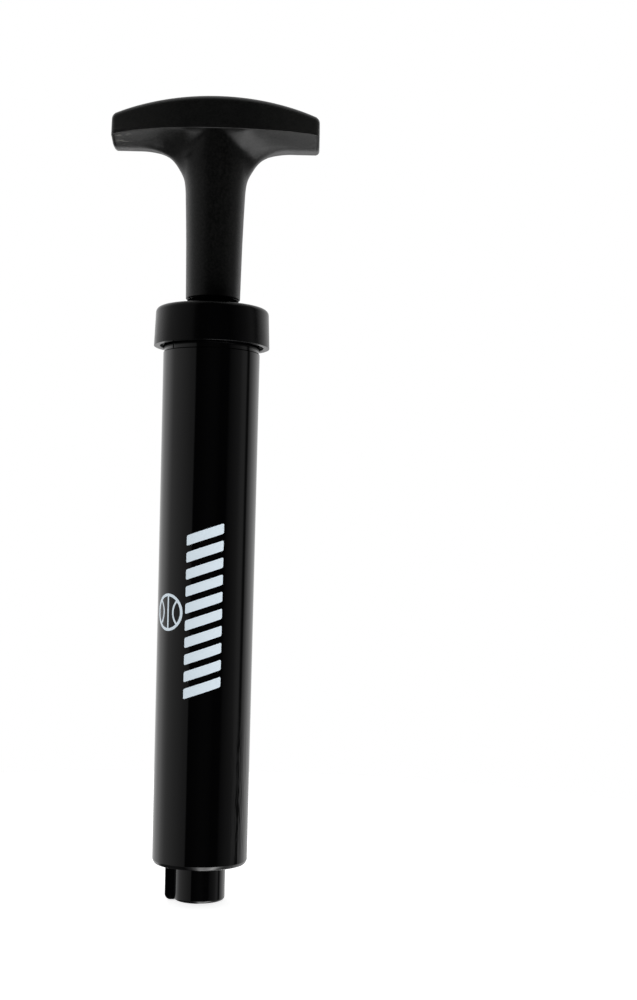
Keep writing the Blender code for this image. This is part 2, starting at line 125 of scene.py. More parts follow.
# cap, bush and rod
CAP_RIM_R = 16.7
CAP_TOP_R = 16.25
CAP_SKIRT_R = 14.95
CAP_HOLE_R = 7.6
CAP_PLATE_LOW = 168.4
BUSH_BORE_R = 6.42
# the collar is nearly as wide as the stem's foot; with its black finish it is painted shade in the
# gap under the stem
BUSH_COLLAR_R = 7.45
BUSH_FLANGE_TOP = CAP_PLATE_LOW - 0.3
ROD_BORE_R = 5.0
PORT_HEIGHT = 42.0
PORT_R = 1.2

# the needle socket's thread, and the grooves round its outside
THREAD_PITCH = 25.4 / 26
THREAD_CREST_R = 3.5
THREAD_DEPTH = 0.48
THREAD_CHAMFER = 0.6
THREAD_STEPS = 8
SOCKET_LOW_EDGE = 0.3
SOCKET_HIGH_EDGE = 0.2
GROOVES = (2.6, 6.2)
GROOVE_HALF = 0.35
GROOVE_FLOOR_HALF = 0.15
GROOVE_DEPTH = 0.3

# the printed bars and the printed ball: across is measured round the barrel from its front
INK_RISE = 0.03
INK_SINK = 0.05
MARK_LOW = 62.2
MARK_PITCH = 4.8
MARK_COUNT = 10
MARK_HALF_HEIGHT = 1.45
MARK_HALF_WIDTH = 5.3
MARK_SLANT = 0.35
MARK_ACROSS = 0.45
MARK_CORNER_R = 0.4
MARK_STEPS = 36
BALL_ACROSS = -11.0
BALL_HEIGHT = 83.2
BALL_R = 4.9
BALL_LINE = 0.8
BALL_SEAM = 0.55
BALL_STEPS = 72
SEAM_STEPS = 24
SEAM_SWEEP = 52     # degrees up and down from a bent seam's middle
SEAM_R = 0.92 * BALL_R
SEAM_AWAY = 1.32 * BALL_R

# the handle's stem and its socket for the rod: the profile is (height, radius)
STEM_PROFILE = (
    (173.6, 7.85), (182.0, 8.0), (190.0, 8.15), (197.0, 8.36), (204.0, 8.62), (222.0, 8.85),
)
STEM_EDGE_R = 0.3
STEM_BORE_R = 6.45
STEM_BORE_TOP = 213.6
STEM_SWELL = 3.0            # the most that it is drawn out to each side
STEM_SWELL_TOP = 221.0
STEM_SWELL_FADE = 10.0

# the T-bar: its crisp line is lower at the ends, and lowest at the left end
BAR_HALF = HANDLE_HIGH.x
BAR_TOP = HANDLE_HIGH.z
BAR_ARCH_R = 74.0
BAR_UNDER = 216.7
BAR_END_R = 1.2
PART_LINE = 221.2
PART_LINE_DROP = 1.2
PART_LINE_LEFT_DROP = 1.0
PART_HALF = 8.9
PART_HALF_END = 8.1
PART_HALF_DROP = 0.9        # what the very ends are rounded in by
PART_EDGE_R = 0.5
TOP_HALF = 6.0              # half the bar's thickness at a height of TOP_RISE over the line
TOP_RISE = 8.0
TOP_LEAN = 0.35             # usual slope of its faces
SHOULDER_R = 1.8
CROWN = 0.002

# the web under the T-bar: thin beside the stem, and standing out under the crisp line
WEB_HALF = 4.6              # half its thickness towards the T-bar's ends
WEB_THIN = 2.0              # and beside the stem
WEB_EDGE_R = 3.2
WEB_THIN_R = 0.85           # the most rounding of a thin edge, as a share of its thickness
WEB_LAND = 0.26             # share of its height that stays flat
WEB_HOLLOW = 1.5            # power of the curve over the rest
WEB_SLOPE = 0.95            # slope of its face beside the stem
WEB_SLOPE_SOFT = 0.004      # softens the foot of that slope
WEB_STEEPEN = 1.2           # keeps the field even over a sloping face
WEB_SUNK = 1.5              # how far its edge stays back from the flare beside the stem
WEB_SUNK_TOP = 215.0
WEB_SUNK_FADE = 9.0
FLARE_BLEND = 13.2          # width of the flare from the stem's side to the T-bar's underside
FLARE_INNER = 8.0
FLARE_OUTER = 19.0
FLARE_LOW = 212.0
FILLET_LEAST = 0.3          # fillet between stem and web, and what it gains on its way up
FILLET_LOW = 2.6
FILLET_HIGH = 2.2
FILLET_FADE = 8.0

# ---- colours, places of wear on the surfaces, and painted light on the handle ----

DEEP_BLACK = (0.001, 0.001, 0.0012)
# the black that the scuffs, the specks and the painted light on the handle lighten it towards
WEAR_AND_PAINTED_LIGHT_BLACK = (0.02, 0.02, 0.019)
SCUFFED_BLACK = (0.08, 0.078, 0.07)
SCUFF_START = -20.0
SCUFF_TILT = 28
# painted light: the T-bar's upper part is lightened from this distance out to its ends, at most by
# this share
PAINTED_LIGHT_START = 8.0
PAINTED_LIGHT_MOST = 0.9
SPECK_MOST = 0.4
RIPPLE_TOP = 62.0           # the barrel is wavy below this height
RIPPLE_FADE = 30.0
RIPPLE_SIDE = (8.0, 10.5)   # and further right of its axis than this, with a soft start
RIPPLE_DEPTH = 0.1
INK_GLOW = (0.78, 0.9, 1.0)
INK_GLOW_LEVEL = 0.36

# ---- camera: its place in metres, roll in degrees, lens and sensor in millimetres ----

CAMERA_PLACE = (0.0324, -0.435, 0.0990)
CAMERA_ROLL = 1.37
CAMERA_LENS = 54.0
CAMERA_SENSOR = 36.0
CAMERA_SHIFT = 0.06

# ---- light round the studio: (degrees from the camera's side to the right, brightness) ----

LIGHT_LEVEL = (
    (-180, 0.9), (-150, 1.2), (-118, 1.2), (-93, 0.64), (-59, 0.41), (-40, 0.28), (-34, 0.26),
    (-31, 0.01), (-12, 0.02), (0, 0.03), (14, 0.03), (24, 0.02), (28, 0.01), (46, 0.01),
    (51, 0.07), (64, 0.13), (78, 0.21), (88, 0.36), (96, 0.36), (101, 0.05), (107, 0.05),
    (111, 0.45), (125, 0.95), (140, 1.2), (180, 0.9),
)
LIGHT_BELOW = (
    (-180, 3.0), (-175, 1.2), (-169, 0.4), (-160, 0.1), (-70, 0.1), (-47, 0.05), (-43, 0.15),
    (-25, 0.4), (-8, 1.6), (0, 3.8), (12, 4.8), (25, 3.8), (40, 5.0), (48, 8.0), (62, 5.0),
    (72, 1.5), (90, 0.5), (166, 2.0), (180, 6.0),
)
LIGHT_ABOVE = (
    (-180, 0.9), (-90, 0.9), (-50, 0.18), (0, 0.03), (50, 0.18), (90, 1.1), (180, 0.9),
)
LIGHT_UNDERNEATH = 7.0

# where one light takes over from another: between two angles over the horizon, minus below it
TO_BELOW = (-26, -36)
TO_ABOVE = (42, 62)
TO_UNDERNEATH = (-83, -88)

FLOOR_R = 260.0
FLOOR_GAP = 0.02
FLOOR_GLOW = 0.8


# ---- meshes ----

def shade(mesh):
    """Shade a mesh smooth, but for its sharp edges."""
    mesh.shade_smooth()
    mesh.set_sharp_from_angle(angle=radians(SHARP_FROM))


def add_object(name, bm, body=None, finish=None):
    """Make an object from a bmesh in millimetres; a piece of the pump is attached to its body."""
    bmesh.ops.recalc_face_normals(bm, faces=bm.faces)
    mesh = bpy.data.meshes.new(name)
    bm.to_mesh(mesh)
    bm.free()
    mesh.transform(Matrix.Scale(MM, 4))
    shade(mesh)
    made = bpy.data.objects.new(name, mesh)
    bpy.context.scene.collection.objects.link(made)
    if finish:
        mesh.materials.append(finish)
    if body:
        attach(made, body)
    return made


def combine(target, tool, operation):
    """Unite a tool with a target or cut it away, for good."""
    change = target.modifiers.new("combine", "BOOLEAN")
    change.operation = operation
    change.solver = "EXACT"
    change.object = tool
    seen = target.evaluated_get(bpy.context.evaluated_depsgraph_get())
    mesh = bpy.data.meshes.new_from_object(seen)
    target.modifiers.clear()
    target.data = mesh
    shade(mesh)
    bpy.data.objects.remove(tool)


def rounded(corners, steps=5):
    """A closed outline through (radius, height, fillet) corners, each fillet as an arc."""
    points = []
    for i, (r, z, fillet) in enumerate(corners):
        if fillet <= 0:
            points.append((r, z))
            continue
        here = Vector((r, z))
        before = (Vector(corners[i - 1][:2]) - here).normalized()
        after = (Vector(corners[(i + 1) % len(corners)][:2]) - here).normalized()
        half_angle = before.angle(after) / 2
        middle = here + (before + after).normalized() * fillet / sin(half_angle)
        start = here + before * fillet / tan(half_angle) - middle
        end = here + after * fillet / tan(half_angle) - middle
        swing = start.angle_signed(end)
        for k in range(steps + 1):
            turn = -swing * k / steps
            x = start.x * cos(turn) - start.y * sin(turn)
            y = start.x * sin(turn) + start.y * cos(turn)
            points.append((middle.x + x, middle.y + y))
    return points


def join_rows(bm, rows, ring):
    """Faces from each closed row of vertices to the next: a ring of rows, or a closed block."""
    for i in range(len(rows) if ring else len(rows) - 1):
        row, following = rows[i], rows[(i + 1) % len(rows)]
        for j in range(len(row)):
            k = (j + 1) % len(row)
            bm.faces.new((row[j], following[j], following[k], row[k]))
    if not ring:
        bm.faces.new(rows[0])
        bm.faces.new(reversed(rows[-1]))


def add_turned(bm, outline, steps, start=0.0, sweep=360.0):
    """Turn a closed outline round Z: all the way, or part of the way as a closed block."""
    full = sweep >= 360.0
    rows = []
    for i in range(steps if full else steps + 1):
        a = radians(start + sweep * i / steps)
        rows.append([bm.verts.new((r * cos(a), r * sin(a), z)) for r, z in outline])
    join_rows(bm, rows, full)
    bmesh.ops.remove_doubles(bm, verts=bm.verts, dist=1e-4)


def turned(name, corners, body, finish, steps=FINE):
    """A piece made by turning an outline with rounded corners round Z."""
    bm = bmesh.new()
    add_turned(bm, rounded(corners), steps)
    return add_object(name, bm, body, finish)


def rod_between(start, end, radius, steps=24):
    """A round rod used as a tool for a cut."""
    start, end = Vector(start), Vector(end)
    turn = (end - start).to_track_quat("Z", "Y").to_matrix().to_4x4()
    turn.translation = (start + end) / 2
    bm = bmesh.new()
    bmesh.ops.create_cone(bm, cap_ends=True, segments=steps, radius1=radius, radius2=radius,
                          depth=(end - start).length, matrix=turn)
    return add_object("tool", bm)


# ---- a smooth skin over a shape that is given as a field ----

def round_max(a, b, radius):
    """Where both fields are below zero, with the edge between them rounded."""
    a, b = a + radius, b + radius
    return np.hypot(np.maximum(a, 0), np.maximum(b, 0)) + np.minimum(np.maximum(a, b), 0) - radius


def blend_min(a, b, width):
    """Where either field is below zero, with a fillet between them."""
    share = np.maximum(width - np.abs(a - b), 0) / width
    return np.minimum(a, b) - share ** 2 * width / 4


def smooth_step(share):
    """From 0 to 1 with a soft start and end, and held outside that range."""
    share = np.clip(share, 0, 1)
    return share * share * (3 - 2 * share)


def spaced(*stretches):
    """Grid lines over stretches of (start, end, step), each step made to fit its stretch."""
    lines = []
    for start, end, step in stretches:
        lines.append(np.linspace(start, end, max(2, round((end - start) / step) + 1))[:-1])
    return np.concatenate([*lines, [stretches[-1][1]]])


def crossed_edges(value, place, axis):
    """Grid edges along an axis that cross the surface: indices, points, and if they start inside."""
    low, high = [slice(None)] * 3, [slice(None)] * 3
    low[axis], high[axis] = slice(None, -1), slice(1, None)
    a, b = value[tuple(low)], value[tuple(high)]
    crossed = (a < 0) != (b < 0)
    start = place[(slice(None), *low)][:, crossed]
    end = place[(slice(None), *high)][:, crossed]
    share = a[crossed] / (a[crossed] - b[crossed])
    return np.argwhere(crossed), start + share * (end - start), a[crossed] < 0


def cells_beside(edges, axis, back):
    """One of the four grid cells round each edge, stepped back along the two other axes."""
    first, second = [k for k in range(3) if k != axis]
    cells = edges.T.copy()
    cells[first] -= back[0]
    cells[second] -= back[1]
    return cells


def skin(field, xs, ys, zs, bend):
    """Vertices and quads of the surface where the field is zero, one vertex in each grid cell."""
    x, y, z = np.meshgrid(xs, ys, zs, indexing="ij")
    place = np.stack([x, y, bend(x, z)])
    value = field(*place)
    crossings = [crossed_edges(value, place, axis) for axis in range(3)]

    shape = tuple(n - 1 for n in value.shape)
    total, count = np.zeros((3, *shape)), np.zeros(shape)
    for axis, (edges, points, inside) in enumerate(crossings):
        for back in ((0, 0), (0, 1), (1, 0), (1, 1)):
            flat = np.ravel_multi_index(cells_beside(edges, axis, back), shape)
            np.add.at(count.reshape(-1), flat, 1)
            for k in range(3):
                np.add.at(total[k].reshape(-1), flat, points[k])
    used = count > 0
    number = np.full(shape, -1)
    number[used] = np.arange(used.sum())

    quads = []
    for axis, (edges, points, inside) in enumerate(crossings):
        around = [cells_beside(edges, axis, back) for back in ((0, 0), (1, 0), (1, 1), (0, 1))]
        quad = np.stack([number[tuple(cells)] for cells in around], axis=1)
        flip = inside if axis != 1 else ~inside
        quad[flip] = quad[flip][:, ::-1]
        quads.append(quad)
    return (total[:, used] / count[used]).T, np.concatenate(quads)


def settle(field, vertices, steps=4):
    """Move vertices onto the surface where the field is zero, by a short way in each step."""
    small, least_slope, furthest = 0.01, 0.2, 0.3
    for _ in range(steps):
        value = field(*vertices.T)
        slope = np.stack([field(*(vertices + small * way).T) - value for way in np.eye(3)]) / small
        move = value / np.maximum((slope ** 2).sum(0), least_slope)
        vertices = vertices - np.clip(move, -furthest, furthest)[:, None] * slope.T
    return vertices


# ---- handle: every field is below zero inside its shape ----

def arch_height(x):
    """Height of the T-bar's arched top along its middle."""
    return BAR_TOP - BAR_ARCH_R + np.sqrt(BAR_ARCH_R ** 2 - x ** 2)


def part_height(x):
    """Height of the crisp line along the T-bar's front and back."""
    left = np.clip(-x / BAR_HALF, 0, None)
    return PART_LINE - PART_LINE_DROP * (x / BAR_HALF) ** 2 - PART_LINE_LEFT_DROP * left ** 3


def part_depth(x):
    """How far the T-bar stands out at that line: less towards its ends."""
    share = np.abs(x) / BAR_HALF
    return PART_HALF - (PART_HALF - PART_HALF_END) * share ** 2 - PART_HALF_DROP * share ** 8


def stem_field(x, y, z, round_r):
    """The round stem, drawn out sideways where it meets the T-bar."""
    below = np.clip(BAR_UNDER - z, FLARE_BLEND / 4, FLARE_BLEND)
    reach = FLARE_BLEND + below - 2 * np.sqrt(FLARE_BLEND * below)
    swell = smooth_step((STEM_SWELL_TOP - z) / STEM_SWELL_FADE) * reach / (1 + reach / STEM_SWELL)
    return np.hypot(x * round_r / (round_r + swell), y) - round_r


def web_field(x, depth, z, round_r, part, half):
    """The web under the T-bar, with a hollow face that stands out to the crisp line."""
    inward = -blend_min(np.abs(x) - round_r, BAR_UNDER - z, FLARE_BLEND)
    inside = np.clip(inward, 0, None)
    rise = inside / (inside + np.clip(part - z, 0, None) + 1e-6)
    away = smooth_step((np.abs(x) - FLARE_INNER) / (FLARE_OUTER - FLARE_INNER))
    thin = WEB_THIN + (WEB_HALF - WEB_THIN) * away
    steep = 1 - WEB_SLOPE * (part - z) / (half - thin)
    steep = steep / 2 + np.sqrt(steep ** 2 / 4 + WEB_SLOPE_SOFT)
    hollow = np.clip((rise - WEB_LAND) / (1 - WEB_LAND), 0, None) ** WEB_HOLLOW
    cove = steep + (hollow - steep) * away
    face = (depth - thin - (half - thin) * cove) / np.sqrt(1 + WEB_STEEPEN * cove)
    sunk = WEB_SUNK * smooth_step((WEB_SUNK_TOP - z) / WEB_SUNK_FADE) * (1 - away)
    return round_max(face, sunk - inward, np.minimum(WEB_EDGE_R, thin * WEB_THIN_R))


def fillet_width(x, z):
    """Width of the fillet between stem and web: least in the middle, and wider higher up."""
    width = FILLET_LOW * smooth_step((z - FLARE_LOW + FILLET_FADE) / FILLET_FADE)
    width = width + FILLET_HIGH * smooth_step((z - FLARE_LOW) / FILLET_FADE)
    return FILLET_LEAST + width * smooth_step((np.abs(x) - 1) / FILLET_FADE)


def top_field(x, depth, z, part, half):
    """The T-bar over its crisp line: two leaning faces under an arched and crowned top."""
    lean = (half - TOP_HALF) / TOP_RISE
    face = (depth - half + lean * (z - part)) / sqrt(1 + TOP_LEAN ** 2)
    crown = z - arch_height(x) + CROWN * depth ** 2
    return round_max(face, crown, SHOULDER_R)


def handle_field(x, y, z):
    """The whole handle: stem and web under the crisp line, the T-bar's top over it, and a bore."""
    depth = np.abs(y)
    round_r = np.interp(z, *zip(*STEM_PROFILE))
    part, half = part_height(x), part_depth(x)
    stem = stem_field(x, y, z, round_r)
    web = web_field(x, depth, z, round_r, part, half)
    lower = round_max(blend_min(stem, web, fillet_width(x, z)), depth - half, PART_EDGE_R)
    upper = top_field(x, depth, z, part, half)
    whole = round_max(np.where(z > part, upper, lower), np.abs(x) - BAR_HALF, BAR_END_R)
    whole = round_max(whole, HANDLE_LOW.z - z, STEM_EDGE_R)
    bore = np.maximum(np.hypot(x, y) - STEM_BORE_R, z - STEM_BORE_TOP)
    return np.maximum(whole, -bore)


def bend_to_line(x, z):
    """Grid heights, bent so that one layer of the grid follows the crisp line."""
    straight = 206.0
    share = np.clip((z - straight) / (PART_LINE - straight), 0, 1)
    return z - share * (PART_LINE - part_height(x))


def handle_grid():
    """Grid lines along X, Y and Z, closer together at the ends, the foot and the crisp line."""
    stem, inner, past = 9, BAR_HALF - 1.4, BAR_HALF + 0.4
    xs = spaced((-past, -inner, 0.2), (-inner, -stem, 0.55), (-stem, stem, 0.45),
                (stem, inner, 0.55), (inner, past, 0.2))
    ys = spaced((-10, 10, 0.45))
    foot, web, under = HANDLE_LOW.z + 0.6, 205, 215.6
    line_low, line_high = PART_LINE - 0.45, PART_LINE + 0.45
    zs = spaced((HANDLE_LOW.z - 0.3, foot, 0.12), (foot, web, 0.9), (web, under, 0.5),
                (under, line_low, 0.3), (line_low, line_high, 0.1),
                (line_high, BAR_TOP + 0.5, 0.45))
    return xs, ys, zs


def handle(finish):
    """The T-handle as one smooth skin."""
    vertices, quads = skin(handle_field, *handle_grid(), bend_to_line)
    vertices = settle(handle_field, vertices)
    bm = bmesh.new()
    corners = [bm.verts.new(v) for v in vertices]
    for quad in quads:
        bm.faces.new([corners[i] for i in quad])
    made = add_object("grip", bm, "plunger", finish)
    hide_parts("handle")


# ---- barrel ----

def lug():
    """The flat lug beside the nozzle boss, its lower outer corner rounded."""
    turns = [radians(180 + 90 * i / 8) for i in range(9)]
    middle_x, middle_z = -LUG_REACH + LUG_CORNER_R, LUG_CORNER_R
    outline = [(middle_x + LUG_CORNER_R * cos(a), middle_z + LUG_CORNER_R * sin(a)) for a in turns]
    root, top = -BOSS_R + LUG_ROOT, FLOOR_BOTTOM + LUG_SUNK
    outline += [(root, 0.0), (root, top), (-LUG_REACH, top)]
    bm = bmesh.new()
    face = bm.faces.new([bm.verts.new((x, -LUG_HALF_WIDTH, z)) for x, z in outline])
    depth = bmesh.ops.extrude_face_region(bm, geom=[face])
    far = [v for v in depth["geom"] if isinstance(v, bmesh.types.BMVert)]
    bmesh.ops.translate(bm, verts=far, vec=(0, 2 * LUG_HALF_WIDTH, 0))
    outer = [e for e in bm.edges if abs(e.verts[0].co.y - e.verts[1].co.y) < 1e-6
             and min(v.co.x for v in e.verts) < -BOSS_R]
    bmesh.ops.bevel(bm, geom=outer, offset=LUG_EDGE_R, segments=3, profile=0.5, affect="EDGES")
    return add_object("tool", bm)


def add_bayonet(target, corners):
    """Unite three short blocks with a target, each turned from the same outline."""
    for start in BAYONET_STARTS:
        bm = bmesh.new()
        add_turned(bm, rounded(corners), 12, start, BAYONET_SWEEP)
        combine(target, add_object("tool", bm), "UNION")


def barrel(finish):
    """The barrel with its boss, lug, duct, bayonet keys and the tower inside."""
    corners = [
        (INSERT_R, 0.0, 0.25), (BOSS_R, 0.0, 0.9), (BOSS_R, FLOOR_BOTTOM, 0.35),
        (BARREL_BOTTOM_R - EDGE_WIDTH, FLOOR_BOTTOM, 0.5),
        (BARREL_BOTTOM_R, FLOOR_BOTTOM + EDGE_HEIGHT, 0.5), (BARREL_TOP_R, NECK_STEP, 0.12),
        (NECK_R, NECK_STEP + NECK_STEP_RISE, 0.08), (NECK_R, RIM_TOP, 0.3),
        (BORE_R, RIM_TOP, 0.3), (BORE_R, FLOOR_TOP, 0.5), (TOWER_R, FLOOR_TOP, 0.3),
        (TOWER_R, TOWER_TOP, 0.3), (GLAND_R, TOWER_TOP, 0.15), (GLAND_R, GLAND_FLOOR, 0.1),
        (TUBE_HOLE_R, GLAND_FLOOR, 0.05), (TUBE_HOLE_R, VALVE_TOP, 0), (VALVE_R, VALVE_TOP, 0),
        (VALVE_R, VALVE_FLOOR, 0.1), (OUTLET_R, VALVE_FLOOR, 0.1), (OUTLET_R, INSERT_TOP, 0.1),
        (INSERT_R, INSERT_TOP, 0.1),
    ]
    made = turned("barrel_shell", corners, "barrel_body", finish)
    combine(made, lug(), "UNION")
    duct = rod_between((DUCT_X, 0, -1), (DUCT_X, 0, FLOOR_TOP + 1), DUCT_R)
    combine(made, duct, "DIFFERENCE")
    sunk = NECK_R - BAYONET_SUNK
    add_bayonet(made, [(sunk, BAYONET_LOW, 0), (BAYONET_R, BAYONET_LOW, 0.25),
                       (BAYONET_R, BAYONET_HIGH, 0.25), (sunk, BAYONET_HIGH, 0)])
    side = radians(NOTCH_ANGLE)
    foot = Vector((NECK_R * cos(side), NECK_R * sin(side), NECK_STEP + NOTCH_FOOT))
    notch = rod_between(foot, foot + Vector((0, 0, NOTCH_LENGTH)), NOTCH_R, 12)
    combine(made, notch, "DIFFERENCE")
    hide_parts("barrel")


# ---- cap, bush and rod ----

def cap(finish):
    """The cap with its rounded rim, its hole and the bayonet's ledges inside."""
    top = CAP_HIGH.z
    corners = [
        (CAP_SKIRT_R, CAP_LOW.z, 0.25), (CAP_RIM_R, CAP_LOW.z, 0.1), (CAP_TOP_R, top, 1.5),
        (CAP_HOLE_R, top, 0.3), (CAP_HOLE_R, CAP_PLATE_LOW, 0.2), (CAP_SKIRT_R, CAP_PLATE_LOW, 0.3),
    ]
    made = turned("cap_shell", corners, "barrel_body", finish)
    sunk = CAP_SKIRT_R + BAYONET_SUNK
    add_bayonet(made, [(LEDGE_R, LEDGE_LOW, 0.2), (sunk, LEDGE_LOW, 0),
                       (sunk, LEDGE_HIGH, 0), (LEDGE_R, LEDGE_HIGH, 0.2)])
    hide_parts("cap")


def bush(finish):
    """The rod's bush: a wide flange under the cap's plate, and a collar through its hole."""
    flange_r = BUSH_HIGH.x
    corners = [
        (BUSH_BORE_R, BUSH_LOW.z, 0.2), (flange_r, BUSH_LOW.z, 0.2), (flange_r, BUSH_FLANGE_TOP, 0.2),
        (BUSH_COLLAR_R, BUSH_FLANGE_TOP, 0.1), (BUSH_COLLAR_R, BUSH_HIGH.z, 0.25),
        (BUSH_BORE_R, BUSH_HIGH.z, 0.2),
    ]
    made = turned("bush_shell", corners, "barrel_body", finish, FINE_SMALL)
    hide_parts("rod_bush")


def rod(finish):
    """The hollow rod with four ports low in its wall."""
    outer = ROD_HIGH.x
    corners = [
        (ROD_BORE_R, ROD_LOW.z, 0.15), (outer, ROD_LOW.z, 0.3), (outer, ROD_HIGH.z, 0.3),
        (ROD_BORE_R, ROD_HIGH.z, 0.15),
    ]
    made = turned("plunger_rod", corners, "plunger", finish, FINE_SMALL)
    height = Vector((0, 0, PORT_HEIGHT))
    for turn in (0, 90):
        side = Vector((cos(radians(turn)), sin(radians(turn)), 0)) * (outer + 2)
        combine(made, rod_between(height - side, height + side, PORT_R), "DIFFERENCE")
    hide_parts("rod_tube")


# ---- needle socket ----

def thread_outline(angle):
    """Section of the threaded insert at one angle: a V thread inside, two grooves outside."""
    low, high = SOCKET_LOW.z, SOCKET_HIGH.z
    outer = SOCKET_HIGH.x
    points = [(outer - SOCKET_LOW_EDGE, low), (outer, low + SOCKET_LOW_EDGE)]
    for groove in GROOVES:
        points += [(outer, groove - GROOVE_HALF), (outer - GROOVE_DEPTH, groove - GROOVE_FLOOR_HALF),
                   (outer - GROOVE_DEPTH, groove + GROOVE_FLOOR_HALF), (outer, groove + GROOVE_HALF)]
    points += [(outer, high - SOCKET_HIGH_EDGE), (outer - SOCKET_HIGH_EDGE, high)]
    count = round((high - low) / THREAD_PITCH * THREAD_STEPS)
    for i in range(count + 1):
        z = high - (high - low) * i / count
        turn = (z / THREAD_PITCH - angle / 360.0) % 1.0
        depth = THREAD_DEPTH * (1 - abs(2 * turn - 1))
        mouth = max(0.0, THREAD_CHAMFER - (z - low), THREAD_CHAMFER - (high - z))
        points.append((THREAD_CREST_R + max(depth, mouth), z))
    return points


def needle_socket(finish):
    """The brass insert, its section turned round Z with the thread climbing as it goes."""
    bm = bmesh.new()
    rows = []
    for i in range(FINE_SMALL):
        angle = 360.0 * i / FINE_SMALL
        a = radians(angle)
        rows.append([bm.verts.new((r * cos(a), r * sin(a), z)) for r, z in thread_outline(angle)])
    join_rows(bm, rows, ring=True)
    made = add_object("threaded_insert", bm, "barrel_body", finish)
    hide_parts("needle_socket")


# ---- printed marks: plain slanted bars and a ball sign ----

def on_barrel(across, z, lift):
    """A point on the barrel's outside: across is the way round from the front."""
    share = (z - FLOOR_BOTTOM) / (NECK_STEP - FLOOR_BOTTOM)
    r = BARREL_BOTTOM_R + (BARREL_TOP_R - BARREL_BOTTOM_R) * share
    a = across / r
    return Vector((sin(a), -cos(a), 0)) * (r + lift) + Vector((0, 0, z))


def add_strip(bm, one_side, other_side, closed=False):
    """A thin layer of ink between two edges, each a list of (across, height) points."""
    rows = []
    for a, b in zip(one_side, other_side):
        section = ((a, -INK_SINK), (b, -INK_SINK), (b, INK_RISE), (a, INK_RISE))
        rows.append([bm.verts.new(on_barrel(*point, lift)) for point, lift in section])
    join_rows(bm, rows, closed)


def add_bar(bm, middle):
    """One slanted bar with rounded corners, across the barrel's front."""
    low, high = [], []
    for i in range(MARK_STEPS + 1):
        share = -cos(pi * i / MARK_STEPS)
        past = max(0.0, (abs(share) - 1) * MARK_HALF_WIDTH / MARK_CORNER_R + 1)
        lift = MARK_HALF_HEIGHT - MARK_CORNER_R * (1 - sqrt(max(0.0, 1 - past ** 2)))
        across = share * MARK_HALF_WIDTH
        z = middle + MARK_SLANT * across
        low.append((MARK_ACROSS + across, z - lift))
        high.append((MARK_ACROSS + across, z + lift))
    add_strip(bm, low, high)


def add_line(bm, points, width, closed=False):
    """A printed line of even width along points (across, height)."""
    points = [Vector(point) for point in points]
    count = len(points)
    one, other = [], []
    for i, here in enumerate(points):
        before = points[i - 1] if closed or i > 0 else here
        after = points[(i + 1) % count] if closed or i + 1 < count else here
        along = (after - before).normalized()
        side = Vector((-along.y, along.x)) * width / 2
        one.append(here + side)
        other.append(here - side)
    add_strip(bm, one, other, closed)


def printed_ball(finish):
    """A ball sign: a ring, a straight seam and a bent seam on each side."""
    bm = bmesh.new()
    x, z, r = BALL_ACROSS, BALL_HEIGHT, BALL_R
    turns = [2 * pi * i / BALL_STEPS for i in range(BALL_STEPS)]
    add_line(bm, [(x + r * cos(a), z + r * sin(a)) for a in turns], BALL_LINE, closed=True)
    inner = r - BALL_LINE * 0.4
    add_line(bm, [(x, z - inner + 2 * inner * i / 20) for i in range(21)], BALL_SEAM)
    bends = [radians(SEAM_SWEEP * (2 * i / SEAM_STEPS - 1)) for i in range(SEAM_STEPS + 1)]
    for side in (-1, 1):
        seam = [(x + side * (SEAM_AWAY - SEAM_R * cos(a)), z + SEAM_R * sin(a)) for a in bends]
        add_line(bm, seam, BALL_SEAM)
    add_object("printed_ball", bm, "barrel_body", finish)


def printed_bars(finish):
    """A column of slanted bars up the barrel's front."""
    bm = bmesh.new()
    for i in range(MARK_COUNT):
        add_bar(bm, MARK_LOW + MARK_PITCH * i)
    add_object("printed_bars", bm, "barrel_body", finish)


# ---- nodes ----

def node(tree, kind, inputs=None, **settings):
    """A shader node, its inputs fed with numbers, colours or other nodes' outputs."""
    made = tree.nodes.new("ShaderNode" + kind)
    for name, value in settings.items():
        setattr(made, name, value)
    for name, value in (inputs or {}).items():
        if isinstance(value, bpy.types.NodeSocket):
            tree.links.new(value, made.inputs[name])
        else:
            made.inputs[name].default_value = value
    return made


def maths(tree, operation, *values):
    """The result of a sum on one or two values."""
    return node(tree, "Math", dict(enumerate(values)), operation=operation).outputs[0]


def between(tree, value, low, high, to_low=0.0, to_high=1.0, smooth=False):
    """A value carried from one range to another, and held at its ends."""
    inputs = {"Value": value, "From Min": low, "From Max": high, "To Min": to_low, "To Max": to_high}
    kind = "SMOOTHSTEP" if smooth else "LINEAR"
    return node(tree, "MapRange", inputs, interpolation_type=kind).outputs["Result"]


def mixed(tree, share, low, high):
    """A value between two others."""
    return node(tree, "Mix", {0: share, 2: low, 3: high}).outputs[0]


def blended(tree, share, low, high):
    """A colour between two others, the first of which may come from a node."""
    first = low if isinstance(low, bpy.types.NodeSocket) else (*low, 1)
    return node(tree, "Mix", {0: share, 6: first, 7: (*high, 1)}, data_type="RGBA").outputs[2]


def noise(tree, place, scale, detail=2.0, roughness=0.5):
    """Soft patches, scale of them to a millimetre."""
    inputs = {"Vector": place, "Scale": scale, "Detail": detail, "Roughness": roughness}
    return node(tree, "TexNoise", inputs).outputs["Fac"]


def stretched(tree, place, scale):
    """A place with each of its axes scaled."""
    return node(tree, "VectorMath", {0: place, 1: scale}, operation="MULTIPLY").outputs[0]


def bump(tree, height, depth, below=None):
    """Bumps whose height input of 1 stands for the depth, laid over the bumps below."""
    inputs = {"Height": height, "Distance": depth * MM, "Strength": 1.0}
    if below:
        inputs["Normal"] = below
    return node(tree, "Bump", inputs).outputs["Normal"]


# ---- finishes ----

